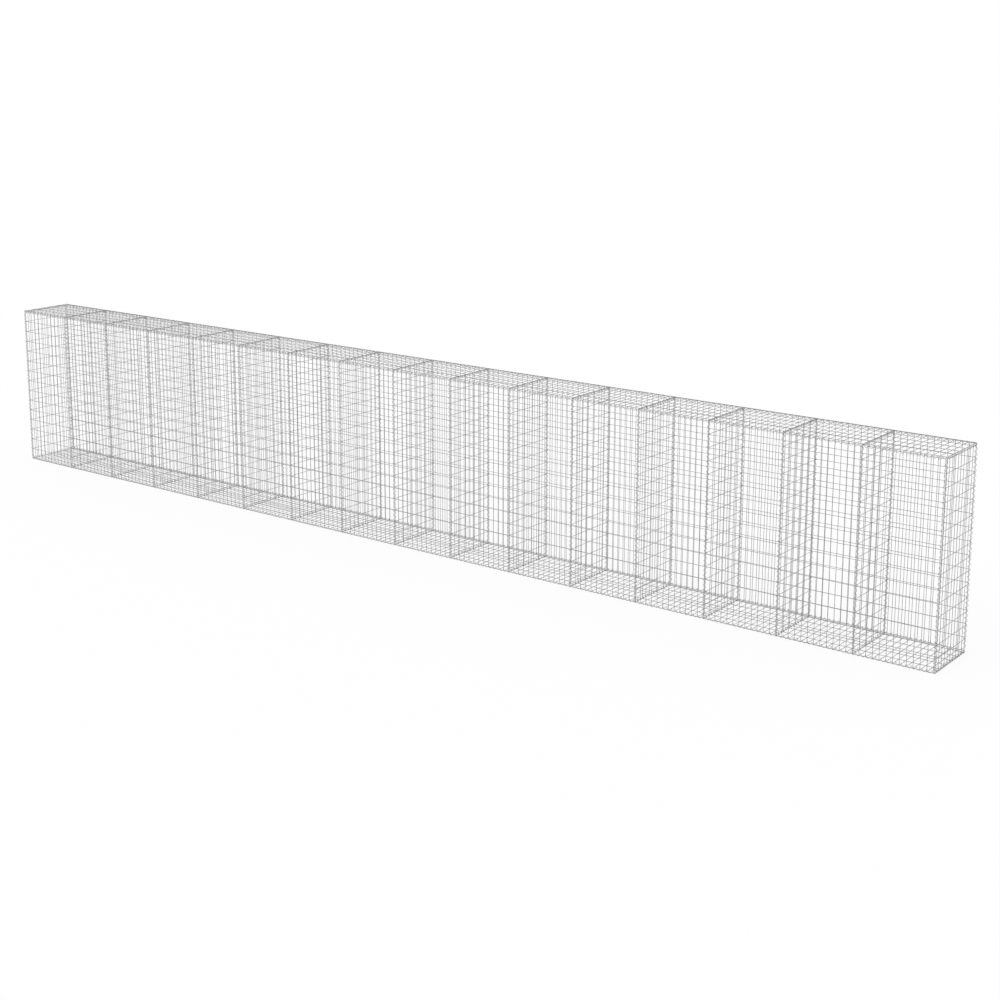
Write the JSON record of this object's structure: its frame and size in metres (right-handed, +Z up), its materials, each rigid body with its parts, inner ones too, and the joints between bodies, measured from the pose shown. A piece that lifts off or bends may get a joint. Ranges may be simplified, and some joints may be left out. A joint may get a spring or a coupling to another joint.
{
  "type": "empty wire-mesh gabion wall",
  "caption": "Long free-standing run of empty welded-mesh gabion baskets with floor, cover, ends and dividers, ready to be filled with stone.",
  "frame": {"origin": "on the ground, at the middle of the wall's footprint", "axes": "+X along the wall from its left end to its right end, +Y from its front to its back, +Z up"},
  "size_m": [9.62, 0.537, 1.52],
  "materials": {
    "galvanised_wire": "galvanised, dull"
  },
  "bodies": {
    "root": {"back_rails": "galvanised_wire", "back_uprights": "galvanised_wire", "cover_cross_wires": "galvanised_wire", "cover_long_wires": "galvanised_wire", "divider_01_rails": "galvanised_wire", "divider_01_uprights": "galvanised_wire", "divider_02_rails": "galvanised_wire", "divider_02_uprights": "galvanised_wire", "divider_03_rails": "galvanised_wire", "divider_03_uprights": "galvanised_wire", "divider_04_rails": "galvanised_wire", "divider_04_uprights": "galvanised_wire", "divider_05_rails": "galvanised_wire", "divider_05_uprights": "galvanised_wire", "divider_06_rails": "galvanised_wire", "divider_06_uprights": "galvanised_wire", "divider_07_rails": "galvanised_wire", "divider_07_uprights": "galvanised_wire", "divider_08_rails": "galvanised_wire", "divider_08_uprights": "galvanised_wire", "divider_09_rails": "galvanised_wire", "divider_09_uprights": "galvanised_wire", "divider_10_rails": "galvanised_wire", "divider_10_uprights": "galvanised_wire", "divider_11_rails": "galvanised_wire", "divider_11_uprights": "galvanised_wire", "divider_12_rails": "galvanised_wire", "divider_12_uprights": "galvanised_wire", "divider_13_rails": "galvanised_wire", "divider_13_uprights": "galvanised_wire", "divider_14_rails": "galvanised_wire", "divider_14_uprights": "galvanised_wire", "divider_15_rails": "galvanised_wire", "divider_15_uprights": "galvanised_wire", "floor_cross_wires": "galvanised_wire", "floor_long_wires": "galvanised_wire", "front_rails": "galvanised_wire", "front_uprights": "galvanised_wire", "left_end_rails": "galvanised_wire", "left_end_uprights": "galvanised_wire", "right_end_rails": "galvanised_wire", "right_end_uprights": "galvanised_wire"}
  },
  "joints": []
}
